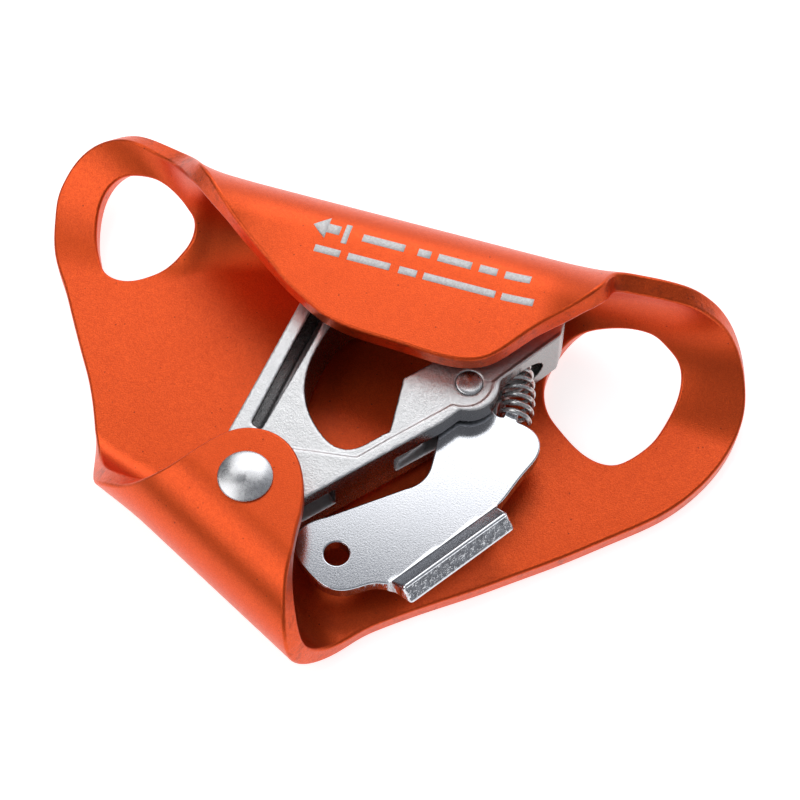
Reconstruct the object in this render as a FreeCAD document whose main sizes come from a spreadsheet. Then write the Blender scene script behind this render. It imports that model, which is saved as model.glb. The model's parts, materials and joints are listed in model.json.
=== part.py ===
import FreeCAD, Part
import math
import os

import Sketcher
from FreeCAD import Vector
from Part import Geom2d

# Chest ascender lying on the flat back of its plate. X runs along the rope channel, towards the
# lower eye; Y runs from the folded ear towards the channel; Z is up, away from the back.
# Sizes are in mm. The outline lists are positions on the flat blank, before the sheet is bent.

doc = FreeCAD.newDocument("chest_ascender")
sheet = doc.addObject("Spreadsheet::Sheet", "sizes")

SIZES = [
    ("plate_thickness", 3.6, "frame sheet"),
    ("channel_radius", 7.5, "inside radius of the rope channel at its narrowest"),
    ("ear_radius", 7.5, "inside radius of the ear fold"),
    ("ear_angle", 27.4, "angle of the ear fold line to the channel, deg"),
    ("ear_reach", 36.33, "distance of the fold line from the layout origin"),
    ("shift_x", 7.47, "moves the layout so that the origin is under the middle"),
    ("shift_y", 7.44, "moves the layout so that the origin is under the middle"),
    ("pivot_x", -18.15, "cam pivot"),
    ("pivot_y", -27.8, "cam pivot"),
    ("rivet_radius", 3.0, "cam rivet shank"),
    ("rivet_head_radius", 4.6, "domed head"),
    ("rivet_head_height", 1.3, "domed head"),
    ("rivet_tail_radius", 4.8, "countersunk tail"),
    ("rivet_tail_depth", 1.8, "countersunk tail"),
    ("cam_bottom", 5.0, "back face of the cam"),
    ("cam_height", 12.0, "thickness of the cam"),
    ("cam_bore_radius", 3.05, "running clearance on the rivet"),
    ("hub_radius", 5.0, "spacing hub on the cam"),
    ("hub_bottom", 3.9, "back end of the hub"),
    ("hub_height", 14.4, "length of the hub"),
    ("groove_bottom", 9.0, "floor of the long groove beside the rib"),
    ("slot_bottom", 7.8, "catch slot in the cam"),
    ("slot_height", 4.8, "catch slot in the cam"),
    ("coil_slot_bottom", 8.2, "slot for the cam spring"),
    ("coil_slot_height", 5.4, "slot for the cam spring"),
    ("pin_x", 11.6, "catch pin"),
    ("pin_y", 2.3, "catch pin"),
    ("pin_radius", 2.3, "catch pin"),
    ("catch_bore_radius", 2.36, "running clearance on the catch pin"),
    ("catch_bottom", 8.7, "back face of the catch"),
    ("catch_thickness", 3.0, "catch plate"),
    ("cord_hole_radius", 2.15, "cord hole in the catch"),
    ("cord_hole_x", -1.3, "cord hole in the catch"),
    ("cord_hole_y", -32.3, "cord hole in the catch"),
    ("tab_angle", 45.0, "thumb tab, up from the catch plate, deg"),
    ("tab_length", 4.1, "thumb tab, inner face"),
    ("tab_thickness", 3.6, "thumb tab at its end"),
    ("seat_radius", 3.6, "catch spring seat bored in the cam"),
    ("catch_spring_radius", 2.4, "coil centre line"),
    ("catch_spring_wire", 0.5, "wire radius"),
    ("catch_spring_turns", 8.0, "turns"),
    ("cam_spring_radius", 4.3, "coil centre line"),
    ("cam_spring_wire", 0.55, "wire radius"),
    ("cam_spring_turns", 2.399, "turns"),
    ("tooth_radius", 0.9, "foot of a cam tooth"),
    ("tooth_tip_radius", 0.2, "tip of a cam tooth"),
    ("tooth_height", 1.4, "cam tooth"),
]
for row, (alias, value, note) in enumerate(SIZES, start=1):
    sheet.set("A%d" % row, alias.replace("_", " "))
    sheet.set("B%d" % row, str(value))
    sheet.setAlias("B%d" % row, alias)
    sheet.set("C%d" % row, note)
doc.recompute()


def size(alias):
    return float(getattr(sheet, alias))


def layout(feature):
    """Every sub-part is drawn in the layout and moved to the row origin by the same shift."""
    feature.setExpression("Placement.Base.x", "<<sizes>>.shift_x")
    feature.setExpression("Placement.Base.y", "<<sizes>>.shift_y")


sheet.Label = "sizes"

# ---------------------------------------------------------------- frame: one bent sheet

THICKNESS = size("plate_thickness")
HALF = THICKNESS / 2

# The channel is a trumpet: station along X, inside radius of the bend, Y where the bend starts.
BEND_STATIONS = [
    (-84, 50.0, 9.5),
    (-74, 40.0, 9.6),
    (-67, 33.0, 9.9),
    (-61, 27.0, 10.6),
    (-56, 21.5, 12.0),
    (-51.5, 16.5, 13.2),
    (-47, 12.9, 13.4),
    (-42.5, 10.3, 15.9),
    (-37.5, 8.9, 18.0),
    (-31.5, 8.0, 19.5),
    (-24, size("channel_radius"), 20.35),
    (12, size("channel_radius"), 20.35),
    (20, 8.0, 19.5),
    (27, 9.3, 17.5),
    (33, 11.1, 15.3),
    (38, 12.8, 13.1),
    (44, 14.6, 11.0),
    (50, 16.4, 9.9),
    (56, 18.0, 9.6),
    (70, 20.0, 9.5),
]
SEAM_Y = 4.0
SEAM_Q = -3.0


def table_slopes(xs, ys):
    """Slopes of a monotone cubic through the stations."""
    steps = [xs[i + 1] - xs[i] for i in range(len(xs) - 1)]
    rises = [(ys[i + 1] - ys[i]) / steps[i] for i in range(len(steps))]
    slopes = [rises[0]]
    for i in range(1, len(rises)):
        if rises[i - 1] * rises[i] <= 0:
            slopes.append(0.0)
            continue
        w1 = 2 * steps[i] + steps[i - 1]
        w2 = steps[i] + 2 * steps[i - 1]
        slopes.append((w1 + w2) / (w1 / rises[i - 1] + w2 / rises[i]))
    slopes.append(rises[-1])
    return slopes


STATION_X = [row[0] for row in BEND_STATIONS]
STATION_RADIUS = [row[1] for row in BEND_STATIONS]
STATION_START = [row[2] for row in BEND_STATIONS]
RADIUS_SLOPES = table_slopes(STATION_X, STATION_RADIUS)
START_SLOPES = table_slopes(STATION_X, STATION_START)


def table_value(x, values, slopes):
    i = 0
    while i < len(STATION_X) - 2 and x > STATION_X[i + 1]:
        i += 1
    step = STATION_X[i + 1] - STATION_X[i]
    part = (x - STATION_X[i]) / step
    return (
        (2 * part**3 - 3 * part**2 + 1) * values[i]
        + (part**3 - 2 * part**2 + part) * step * slopes[i]
        + (3 * part**2 - 2 * part**3) * values[i + 1]
        + (part**3 - part**2) * step * slopes[i + 1]
    )


def channel_middle(x, y):
    """Middle of the sheet for a point of the blank on the channel side."""
    radius = table_value(x, STATION_RADIUS, RADIUS_SLOPES)
    start = table_value(x, STATION_START, START_SLOPES)
    neutral = radius + HALF
    past = y - start
    if past < 0:
        return Vector(x, y, HALF)
    angle = past / neutral
    if angle < math.pi:
        rise = neutral * (1 - math.cos(angle))
        return Vector(x, start + neutral * math.sin(angle), HALF + rise)
    return Vector(x, start - (past - math.pi * neutral), HALF + 2 * neutral)


FOLD_ANGLE = -math.radians(size("ear_angle"))
ALONG = Vector(math.cos(FOLD_ANGLE), math.sin(FOLD_ANGLE), 0)
ACROSS = Vector(math.sin(FOLD_ANGLE), -math.cos(FOLD_ANGLE), 0)
EAR_NEUTRAL = size("ear_radius") + HALF


# Towards its left end the fold starts later and turns tighter.
FLARE_START = -14.0
FLARE_LENGTH = 20.0
FLARE_LATER = 3.4
FLARE_TIGHTER = 2.9


def ear_middle(a, q):
    """Middle of the sheet, a along the fold line and q past it."""
    flare = min(max((FLARE_START - a) / FLARE_LENGTH, 0.0), 1.0)
    flare = flare * flare * (3 - 2 * flare)
    neutral = EAR_NEUTRAL - FLARE_TIGHTER * flare
    past = q - FLARE_LATER * flare
    if past < 0:
        reach = q
        height = HALF
    elif past < math.pi * neutral:
        reach = q - past + neutral * math.sin(past / neutral)
        height = HALF + neutral * (1 - math.cos(past / neutral))
    else:
        reach = q - past + math.pi * neutral - past
        height = HALF + 2 * neutral
    spot = ALONG * a + ACROSS * (reach + size("ear_reach"))
    return Vector(spot.x, spot.y, height)


def offset_point(middle, u, v, rise):
    """A point at a height above the middle of the sheet, square to the sheet."""
    d = 0.05
    du = middle(u + d, v) - middle(u - d, v)
    dv = middle(u, v + d) - middle(u, v - d)
    normal = du.cross(dv)
    normal.normalize()
    return middle(u, v) + normal * rise


def sheet_surface(middle, rise, u_range, v_range, step_u, step_v):
    """A cubic surface through one face of the bent sheet, with the blank's own coordinates."""
    count_u = int(math.ceil((u_range[1] - u_range[0]) / step_u)) + 3
    count_v = int(math.ceil((v_range[1] - v_range[0]) / step_v)) + 3
    samples = []
    for i in range(-1, count_u + 1):
        u = u_range[0] + (i - 1) * step_u
        line = []
        for j in range(-1, count_v + 1):
            line.append(offset_point(middle, u, v_range[0] + (j - 1) * step_v, rise))
        samples.append(line)
    smooth = []
    for i in range(1, len(samples) - 1):
        line = []
        for j in range(len(samples[0])):
            line.append((samples[i][j] * 8 - samples[i - 1][j] - samples[i + 1][j]) * (1 / 6))
        smooth.append(line)
    poles = []
    for line in smooth:
        row = []
        for j in range(1, len(line) - 1):
            row.append((line[j] * 8 - line[j - 1] - line[j + 1]) * (1 / 6))
        poles.append(row)
    knots_u = [u_range[0] + (i - 3) * step_u for i in range(len(poles) + 4)]
    knots_v = [v_range[0] + (j - 3) * step_v for j in range(len(poles[0]) + 4)]
    surface = Part.BSplineSurface()
    surface.buildFromPolesMultsKnots(
        poles, [1] * len(knots_u), [1] * len(knots_v), knots_u, knots_v, False, False, 3, 3
    )
    surface.segment(knots_u[3], knots_u[-4], knots_v[3], knots_v[-4])
    return surface


def flat_curve(points):
    if len(points) == 2:
        return Geom2d.Line2dSegment(
            FreeCAD.Base.Vector2d(*points[0]), FreeCAD.Base.Vector2d(*points[1])
        )
    curve = Geom2d.BSplineCurve2d()
    closed = points[0] == points[-1]
    spots = [FreeCAD.Base.Vector2d(*p) for p in points]
    if closed:
        curve.interpolate(Points=spots[:-1], PeriodicFlag=True)
    else:
        curve.interpolate(spots)
    return curve


def curved_sheet(middle, loop, rise, u_range, v_range, step_u, step_v):
    """A solid of bent sheet, rise above and below its middle: two faces and ruled edge walls."""
    spans = []
    for points in loop:
        curve = flat_curve(points)
        count = 1 + len(points) // 6
        step = (curve.LastParameter - curve.FirstParameter) / count
        for i in range(count):
            start = curve.FirstParameter + i * step
            spans.append((curve, start, start + step))
    faces = []
    edges = []
    for level in (rise, -rise):
        surface = sheet_surface(middle, level, u_range, v_range, step_u, step_v)
        edges.append([curve.toShape(surface, start, end) for curve, start, end in spans])
        faces.append(Part.Face(surface, Part.Wire(edges[-1])))
    for front, back in zip(*edges):
        faces.append(Part.makeRuledSurface(front, back))
    shell = Part.makeShell(faces)
    shell.sewShape(0.005)
    return Part.Solid(shell)


# Outline of the blank, anticlockwise: the lower edge, the lower eye, the lip, the upper eye.
LOWER_EDGE = [
    (4.3, -43.0), (8.1, -39.1), (12.1, -35.9), (17.2, -32.1), (22.4, -28.3), (27.5, -24.3),
    (34.3, -18.9), (42.3, -12.0), (49.2, -5.6), (53.7, 0.7), (55.4, SEAM_Y),
]
LOWER_EYE_EDGE = [
    (55.4, SEAM_Y), (56.5, 7.0), (57.7, 12.3), (57.8, 18.0), (56.7, 22.6), (54.7, 27.4), (52.3, 31.4),
    (49.7, 34.6), (46.6, 37.4), (43.4, 39.7), (40.1, 40.8), (36.9, 41.4), (33.4, 42.2),
    (30.9, 44.4), (30.0, 48.1), (27.4, 51.3), (24.2, 53.9), (20.8, 56.9), (16.9, 61.7),
    (13.9, 64.8), (11.0, 66.2), (7.2, 66.8), (3.0, 66.7), (-2.0, 66.4), (-7.5, 66.2),
    (-12.5, 65.6), (-16.3, 64.4), (-19.8, 62.6), (-23.0, 60.8), (-26.8, 58.1), (-30.7, 55.4),
    (-34.6, 52.7), (-38.4, 49.9), (-42.5, 46.2), (-45.7, 42.5), (-48.6, 39.6), (-52.6, 38.3),
    (-56.6, 38.3), (-60.6, 38.2), (-64.6, 36.9), (-67.8, 34.7), (-70.2, 31.7), (-71.8, 27.6),
    (-72.3, 23.7), (-71.7, 19.9), (-70.4, 15.2), (-68.3, 10.9), (-65.5, 7.0),
    (-63.5, SEAM_Y),
]
LEFT_EDGE = [(-63.5, SEAM_Y), (-62.7, 2.7), (-59.9, -1.7), (-57.4, -5.5)]
LOWER_EYE_TOP = [
    (42.0, SEAM_Y), (43.8, 7.0), (45.1, 11.0), (46.0, 15.6), (46.0, 19.6), (44.6, 23.6),
    (42.1, 26.1), (39.6, 27.8), (37.0, 28.2), (34.0, 27.8), (30.6, 26.7), (27.6, 25.1),
    (25.0, 22.3), (23.4, 18.1), (22.9, 14.2), (23.4, 10.6), (25.3, 7.0), (27.5, 5.0),
    (28.7, SEAM_Y),
]
LOWER_EYE_BOTTOM = [
    (28.7, SEAM_Y), (30.3, 2.9), (33.2, 1.3), (36.2, 0.6), (38.6, 1.0),
    (40.7, 2.6), (42.0, SEAM_Y),
]
UPPER_EYE = [
    (-62.9, 17.9), (-63.8, 21.6), (-63.9, 25.2), (-62.6, 28.8), (-60.2, 31.0), (-57.2, 32.0),
    (-54.1, 32.3), (-50.9, 31.6), (-48.3, 30.1), (-46.5, 27.8), (-46.0, 25.0), (-46.3, 22.0),
    (-47.4, 18.8), (-49.2, 15.6), (-51.6, 13.1), (-54.2, 11.5), (-56.8, 11.0), (-59.4, 11.8),
    (-61.2, 14.2), (-62.2, 16.1), (-62.9, 17.9),
]


def flat_to_fold(x, y):
    spot = Vector(x, y, 0)
    return (spot.dot(ALONG), spot.dot(ACROSS) - size("ear_reach"))


# Ear outline as (along the fold line, past the fold line).
EAR_RIGHT = [
    (24.3, SEAM_Q), (23.5, 0.3), (22.7, 4.3), (21.9, 8.5), (21.2, 12.4), (20.2, 16.0),
    (18.7, 19.2), (16.8, 22.0), (14.2, 25.2), (11.8, 28.4), (9.4, 31.8), (7.4, 35.0),
    (4.9, 37.9), (1.6, 40.4), (-2.2, 41.8), (-5.6, 41.6), (-8.5, 40.2), (-10.8, 37.8),
    (-12.1, 34.8), (-12.9, 31.6), (-13.4, 28.6), (-14.4, 25.4), (-16.2, 22.2), (-18.6, 19.2),
    (-21.4, 16.9), (-24.2, 14.9), (-26.6, 12.7), (-28.9, 10.1), (-32.2, 6.6), (-37.2, 2.3),
    (-44.8, SEAM_Q),
]


def make_frame():
    fold_right = ALONG * EAR_RIGHT[0][0] + ACROSS * (SEAM_Q + size("ear_reach"))
    fold_left = ALONG * EAR_RIGHT[-1][0] + ACROSS * (SEAM_Q + size("ear_reach"))
    right = (fold_right.x, fold_right.y)
    left = (fold_left.x, fold_left.y)
    flat_loop = [
        [right] + LOWER_EDGE[1:],
        [LOWER_EYE_EDGE[0], LOWER_EYE_TOP[0]],
        LOWER_EYE_BOTTOM[::-1],
        [LOWER_EYE_TOP[-1], LEFT_EDGE[0]],
        LEFT_EDGE + [left],
        [left, right],
    ]
    edges = []
    for points in flat_loop:
        spots = [Vector(x, y, 0) for x, y in points]
        if len(spots) == 2:
            edges.append(Part.LineSegment(*spots).toShape())
        else:
            curve = Part.BSplineCurve()
            curve.interpolate(spots)
            edges.append(curve.toShape())
    plate = Part.Face(Part.Wire(edges)).extrude(Vector(0, 0, THICKNESS))
    channel_loop = [
        LOWER_EYE_EDGE,
        [LEFT_EDGE[0], LOWER_EYE_TOP[-1]],
        LOWER_EYE_TOP[::-1],
        [LOWER_EYE_TOP[0], LOWER_EYE_EDGE[0]],
    ]
    channel = curved_sheet(channel_middle, channel_loop, HALF, (-78, 62), (1, 73), 2.5, 1.5)
    half_eye = len(UPPER_EYE) // 2
    eye_loop = [UPPER_EYE[:half_eye + 1], UPPER_EYE[half_eye:]]
    eye = curved_sheet(channel_middle, eye_loop, HALF + 2, (-78, -30), (1, 40), 2.5, 1.5)
    ear_loop = [EAR_RIGHT, [EAR_RIGHT[-1], EAR_RIGHT[0]]]
    ear = curved_sheet(ear_middle, ear_loop, HALF, (-48, 28), (-6, 45), 2.0, 1.0)
    return plate, channel, ear, eye


plate, channel, ear, eye = make_frame()
blank = plate.fuse([channel, ear]).removeSplitter().cut(eye)
pivot = Vector(size("pivot_x"), size("pivot_y"), 0)
rivet_hole = Part.makeCylinder(size("rivet_radius"), 30, pivot)
countersink = Part.makeCone(
    size("rivet_tail_radius"), size("rivet_radius"), size("rivet_tail_depth"), pivot
)
frame = doc.addObject("Part::Feature", "frame")
frame.Shape = blank.cut(rivet_hole.fuse(countersink))
layout(frame)

# ---------------------------------------------------------------- helpers for the other sub-parts


def new_body(name):
    body = doc.addObject("PartDesign::Body", name)
    body.Label = name
    layout(body)
    return body


def origin_plane(body, role):
    return next(item for item in body.Origin.OriginFeatures if item.Role == role)


def add_sketch(body, name, height=None, role="XY_Plane", turn=None):
    sketch = body.newObject("Sketcher::SketchObject", name)
    sketch.AttachmentSupport = [(origin_plane(body, role), "")]
    sketch.MapMode = "FlatFace"
    if turn is not None:
        sketch.AttachmentOffset = turn
    if height is not None:
        sketch.setExpression("AttachmentOffset.Base.z", "<<sizes>>." + height)
    return sketch


def draw_loop(sketch, pieces):
    """Draws lines through two points, arcs through three and curves through more."""
    for points in pieces:
        spots = [Vector(x, y, 0) for x, y in points]
        if len(spots) == 2:
            sketch.addGeometry(Part.LineSegment(*spots))
        elif len(spots) == 3:
            sketch.addGeometry(Part.Arc(*spots))
        else:
            curve = Part.BSplineCurve()
            curve.interpolate(spots)
            sketch.addGeometry(curve)


def draw_polygon(sketch, points):
    draw_loop(sketch, [[a, b] for a, b in zip(points, points[1:] + points[:1])])


def draw_circle(sketch, x, y, radius):
    """A circle whose centre and radius follow the sheet."""
    place = (size(x), size(y)) if isinstance(x, str) else (x, y)
    index = sketch.addGeometry(Part.Circle(Vector(*place, 0), Vector(0, 0, 1), size(radius)))
    names = {}
    names["across"] = sketch.addConstraint(
        Sketcher.Constraint("DistanceX", -1, 1, index, 3, place[0])
    )
    names["up"] = sketch.addConstraint(
        Sketcher.Constraint("DistanceY", -1, 1, index, 3, place[1])
    )
    names["radius"] = sketch.addConstraint(Sketcher.Constraint("Radius", index, size(radius)))
    if isinstance(x, str):
        sketch.setExpression("Constraints[%d]" % names["across"], "<<sizes>>." + x)
        sketch.setExpression("Constraints[%d]" % names["up"], "<<sizes>>." + y)
    sketch.setExpression("Constraints[%d]" % names["radius"], "<<sizes>>." + radius)


def pad(body, sketch, length, name):
    feature = body.newObject("PartDesign::Pad", name)
    feature.Profile = sketch
    feature.setExpression("Length", "<<sizes>>." + length)
    doc.recompute()
    return feature


def pocket_up(body, sketch, length, name):
    """Cuts upwards from the sketch: a length from the sheet, or everything above."""
    before = body.Shape.Volume
    feature = body.newObject("PartDesign::Pocket", name)
    feature.Profile = sketch
    feature.Reversed = True
    if length is None:
        feature.Type = "ThroughAll"
    else:
        feature.setExpression("Length", "<<sizes>>." + length)
    doc.recompute()
    if body.Shape.Volume > before - 1e-3:
        raise RuntimeError(name + " cuts nothing")
    return feature


# ---------------------------------------------------------------- rivet that carries the cam

rivet = new_body("cam_rivet")
profile = add_sketch(rivet, "rivet_profile", role="XZ_Plane")
SHANK_TOP = 2 * THICKNESS + 2 * size("ear_radius")
tail = size("rivet_tail_radius")
shank = size("rivet_radius")
head = size("rivet_head_radius")
crown = size("rivet_head_height")
# The head is a cap of a sphere standing on a short straight rim.
rim = head - 0.1
cap = crown - 0.35
sphere = (rim**2 + cap**2) / (2 * cap)
half_cap = math.asin(rim / sphere) / 2
cap_middle = (sphere * math.sin(half_cap), SHANK_TOP + crown - sphere * (1 - math.cos(half_cap)))
draw_loop(
    profile,
    [
        [(0, 0), (tail, 0)],
        [(tail, 0), (shank, size("rivet_tail_depth"))],
        [(shank, size("rivet_tail_depth")), (shank, SHANK_TOP)],
        [(shank, SHANK_TOP), (head, SHANK_TOP)],
        [(head, SHANK_TOP), (head - 0.1, SHANK_TOP + 0.35)],
        [(head - 0.1, SHANK_TOP + 0.35), cap_middle, (0, SHANK_TOP + crown)],
        [(0, SHANK_TOP + crown), (0, 0)],
    ],
)
turned = rivet.newObject("PartDesign::Revolution", "rivet_turned")
turned.Profile = profile
turned.ReferenceAxis = (profile, ["V_Axis"])
turned.Angle = 360
rivet.setExpression("Placement.Base.x", "<<sizes>>.shift_x + <<sizes>>.pivot_x")
rivet.setExpression("Placement.Base.y", "<<sizes>>.shift_y + <<sizes>>.pivot_y")

# ---------------------------------------------------------------- cam

cam = new_body("cam")
outline = add_sketch(cam, "cam_outline", "cam_bottom")
draw_loop(
    outline,
    [
        [(-25.9, -25.7), (-20.8, -34.2), (-13.6, -32.0)],
        [(-13.6, -32.0), (9.4, -6.3)],
        [(9.4, -6.3), (11.6, -3.1)],
        [(11.6, -3.1), (15.5, -1.4), (16.8, 2.3)],
        [(16.8, 2.3), (16.6, 4.3)],
        [(16.6, 4.3), (24.2, 15.4)],
        [(24.2, 15.4), (24.2, 19.0)],
        [(24.2, 19.0), (19.5, 22.3)],
        [(19.5, 22.3), (1.0, 23.8), (-19.0, 21.9)],
        [(-19.0, 21.9), (-25.9, -25.7)],
    ],
)
pad(cam, outline, "cam_height", "cam_plate")
hub = add_sketch(cam, "cam_hub_circle", "hub_bottom")
draw_circle(hub, "pivot_x", "pivot_y", "hub_radius")
pad(cam, hub, "hub_height", "cam_hub")

window = add_sketch(cam, "cam_window", "cam_bottom")
draw_loop(
    window,
    [
        [
            (1.3, -10.4), (-1.0, -12.8), (-3.0, -14.8), (-4.9, -15.7), (-6.9, -15.6),
            (-9.6, -14.1), (-12.6, -11.1), (-14.7, -7.2), (-15.5, -2.3), (-15.0, 2.8),
            (-13.4, 8.2), (-9.4, 12.6), (-2.6, 14.6), (4.0, 13.4), (7.2, 10.2), (6.6, 6.6),
        ],
        [(6.6, 6.6), (0.6, 0.0)],
        [(0.6, 0.0), (1.3, -10.4)],
    ],
)
pocket_up(cam, window, None, "cam_window_cut")

groove = add_sketch(cam, "cam_groove", "groove_bottom")
draw_polygon(
    groove, [(-21.5, -15.6), (-19.6, -16.3), (-16.4, 2.2), (-14.9, 13.6), (-17.2, 15.4), (-19.3, 1.8)]
)
pocket_up(cam, groove, None, "cam_groove_cut")

slot = add_sketch(cam, "cam_catch_slot", "slot_bottom")
draw_polygon(
    slot, [(3.0, -20.0), (3.0, -11.4), (6.0, -7.0), (6.0, 5.2), (9.0, 8.0), (30.0, 8.0), (30.0, -20.0)]
)
pocket_up(cam, slot, "slot_height", "cam_catch_slot_cut")

coil_room = add_sketch(cam, "cam_coil_room", "coil_slot_bottom")
draw_loop(
    coil_room,
    [
        [(-23.6, -31.0), (-18.15, -22.1), (-13.4, -24.8)],
        [(-13.4, -24.8), (-6.6, -20.4)],
        [(-6.6, -20.4), (-3.0, -23.6)],
        [(-3.0, -23.6), (-12.0, -38.0)],
        [(-12.0, -38.0), (-28.0, -38.0)],
        [(-28.0, -38.0), (-23.6, -31.0)],
    ],
)
pocket_up(cam, coil_room, "coil_slot_height", "cam_coil_room_cut")

bore = add_sketch(cam, "cam_bore", "hub_bottom")
draw_circle(bore, "pivot_x", "pivot_y", "cam_bore_radius")
pocket_up(cam, bore, None, "cam_bore_cut")
pin_hole = add_sketch(cam, "cam_pin_hole", "cam_bottom")
draw_circle(pin_hole, "pin_x", "pin_y", "pin_radius")
pocket_up(cam, pin_hole, None, "cam_pin_hole_cut")

# The casting's front face is a little lower inside its rim.
RIM_DEPTH = 0.3
field = add_sketch(cam, "cam_front_field")
field.setExpression(
    "AttachmentOffset.Base.z", "<<sizes>>.cam_bottom + <<sizes>>.cam_height - %s" % RIM_DEPTH
)
draw_loop(
    field,
    [
        [(-30.0, -20.6), (-13.0, -18.3)],
        [(-13.0, -18.3), (-2.5, -16.8)],
        [(-2.5, -16.8), (1.7, -11.9)],
        [(1.7, -11.9), (10.1, -2.6)],
        [(10.1, -2.6), (14.6, -0.7), (15.5, 3.6)],
        [(15.5, 3.6), (27.0, 20.5)],
        [(27.0, 20.5), (27.0, 27.0)],
        [(27.0, 27.0), (-30.0, 27.0)],
        [(-30.0, 27.0), (-30.0, -20.6)],
    ],
)
before = cam.Shape.Volume
lowered = cam.newObject("PartDesign::Pocket", "cam_front_field_cut")
lowered.Profile = field
lowered.Reversed = True
lowered.Length = RIM_DEPTH
doc.recompute()
if cam.Shape.Volume > before - 1e-3:
    raise RuntimeError("the front field cuts nothing")

# Bored seat for the catch spring, entering the tail from the catch side.
SEAT_MOUTH = Vector(19.3, 7.4, 10.2)
SEAT_LEAN = Vector(-0.18, 1.0, 0.0)
seat = cam.newObject("PartDesign::SubtractiveCylinder", "cam_spring_seat")
seat.setExpression("Radius", "<<sizes>>.seat_radius")
seat.Height = 7.0
seat.Placement = FreeCAD.Placement(
    SEAT_MOUTH - SEAT_LEAN * 1.6, FreeCAD.Rotation(Vector(0, 0, 1), SEAT_LEAN)
)
doc.recompute()

# Teeth on the gripping face, set on arcs square to it.
TOOTH_CENTRE = Vector(0.9, -83.4, 0)
TOOTH_FACE = 107.2
for column in range(10):
    bearing = math.radians(99.2 - 1.95 * column)
    outward = Vector(math.cos(bearing), math.sin(bearing), 0)
    for line in range(3):
        shift = 0.0 if column % 2 else 1.3
        foot = TOOTH_CENTRE + outward * TOOTH_FACE + Vector(0, 0, 7.4 + 2.6 * line + shift)
        tooth = cam.newObject("PartDesign::AdditiveCone", "cam_tooth_%d_%d" % (column, line))
        tooth.setExpression("Radius1", "<<sizes>>.tooth_radius")
        tooth.setExpression("Radius2", "<<sizes>>.tooth_tip_radius")
        tooth.setExpression("Height", "<<sizes>>.tooth_height + 0.6")
        tooth.Placement = FreeCAD.Placement(
            foot - outward * 0.6, FreeCAD.Rotation(Vector(0, 0, 1), outward)
        )
doc.recompute()

# ---------------------------------------------------------------- catch

catch = new_body("catch")
shape = add_sketch(catch, "catch_outline", "catch_bottom")
CREASE_START = Vector(8.5, -35.1, 0)
CREASE = Vector(22.1, -15.9, 0) - CREASE_START
draw_loop(
    shape,
    [
        [
            (8.5, -35.1), (6.7, -35.4), (4.4, -36.7), (1.6, -38.3), (-1.2, -38.5), (-4.6, -37.1),
            (-7.4, -34.9), (-8.8, -32.3), (-8.3, -29.4), (-4.8, -26.3),
        ],
        [(-4.8, -26.3), (6.4, -17.5)],
        [(6.4, -17.5), (8.6, -15.2), (9.2, -12.2)],
        [(9.2, -12.2), (8.7, -6.8), (7.6, -1.4), (7.2, 2.3)],
        [(7.2, 2.3), (11.6, 6.7), (16.0, 2.3)],
        [(16.0, 2.3), (16.6, 0.7), (18.4, 0.2)],
        [(18.4, 0.2), (21.0, 0.0), (23.9, -0.8), (25.7, -2.7), (26.0, -5.2), (24.9, -8.4)],
        [(24.9, -8.4), (23.6, -12.0), (22.1, -15.9)],
        [(22.1, -15.9), (8.5, -35.1)],
    ],
)
pad(catch, shape, "catch_thickness", "catch_plate")
crease_turn = math.degrees(math.atan2(CREASE.y, CREASE.x))
tab_sketch = add_sketch(
    catch,
    "catch_tab_profile",
    turn=FreeCAD.Placement(
        CREASE_START + CREASE * 0.03,
        FreeCAD.Rotation(Vector(0, 0, 1), crease_turn - 90)
        * FreeCAD.Rotation(Vector(1, 0, 0), 90),
    ),
)
bottom = size("catch_bottom")
top = bottom + size("catch_thickness")
bend = math.radians(size("tab_angle"))
reach = size("tab_length")
foot_out = size("catch_thickness") * math.tan(bend / 2)
thick = size("tab_thickness")
tip = (reach * math.cos(bend), top + reach * math.sin(bend))
back_tip = (tip[0] + thick * math.sin(bend), tip[1] - thick * math.cos(bend))
draw_polygon(
    tab_sketch, [(-1.0, bottom), (foot_out, bottom), back_tip, tip, (0.0, top), (-1.0, top)]
)
tab = catch.newObject("PartDesign::Pad", "catch_tab")
tab.Profile = tab_sketch
tab.Length = CREASE.Length * 0.95
tab.Reversed = True
doc.recompute()

tongue = catch.newObject("PartDesign::AdditiveBox", "catch_tongue")
tongue.Length = 2.0
tongue.Width = 3.0
tongue.setExpression("Height", "<<sizes>>.catch_thickness")
tongue.Placement = FreeCAD.Placement(Vector(18.7, -0.6, bottom), FreeCAD.Rotation())
doc.recompute()

catch_bore = add_sketch(catch, "catch_bore", "catch_bottom")
draw_circle(catch_bore, "pin_x", "pin_y", "catch_bore_radius")
pocket_up(catch, catch_bore, None, "catch_bore_cut")
cord_hole = add_sketch(catch, "catch_cord_hole", "catch_bottom")
draw_circle(cord_hole, "cord_hole_x", "cord_hole_y", "cord_hole_radius")
pocket_up(catch, cord_hole, None, "catch_cord_hole_cut")

# ---------------------------------------------------------------- catch pin

pin = new_body("catch_pin")
pin_circle = add_sketch(pin, "pin_circle", "cam_bottom")
draw_circle(pin_circle, "pin_x", "pin_y", "pin_radius")
pin_shank = pad(pin, pin_circle, "cam_height", "pin_shank")
doc.recompute()
pin_edges = []
for number, edge in enumerate(pin.Shape.Edges, start=1):
    if isinstance(edge.Curve, Part.Circle):
        pin_edges.append("Edge%d" % number)
chamfer = pin.newObject("PartDesign::Chamfer", "pin_chamfer")
chamfer.Base = (pin_shank, pin_edges)
chamfer.Size = 0.2
doc.recompute()

# ---------------------------------------------------------------- springs


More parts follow.
